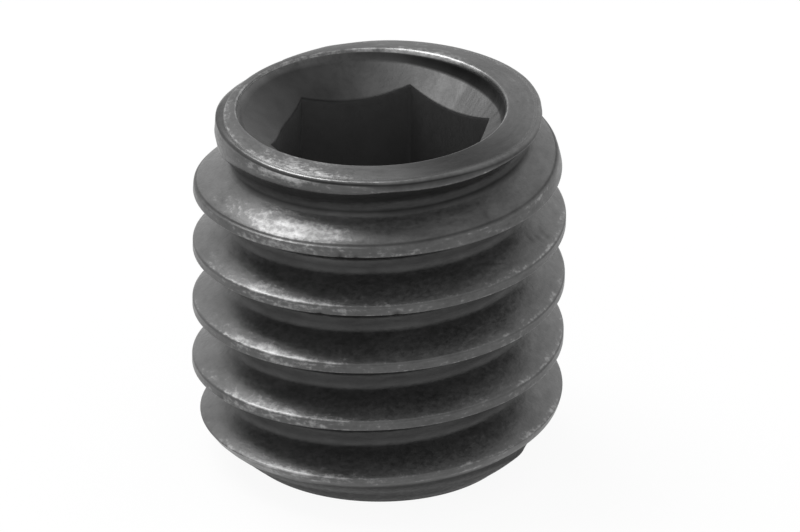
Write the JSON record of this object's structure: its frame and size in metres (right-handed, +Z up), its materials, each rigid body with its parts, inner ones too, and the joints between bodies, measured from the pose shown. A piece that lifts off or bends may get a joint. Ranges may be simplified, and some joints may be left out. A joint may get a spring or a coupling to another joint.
{
  "type": "set screw",
  "caption": "Headless hex socket set screw with a flat point and a right-hand metric thread along its whole length.",
  "frame": {"origin": "on the screw's axis, in the plane of the flat point it stands on", "axes": "+Z up along the screw's axis from the flat point to the socket end, +X to the right and +Y away from a viewer at azimuth 0, with a thread crest crossing +X at each whole pitch"},
  "size_m": [0.0058, 0.0058, 0.0059],
  "materials": {
    "black_steel": "black oxide, satin, worn brighter on the crests and the end ring"
  },
  "bodies": {
    "root": {"set_screw": "black_steel"}
  },
  "joints": []
}
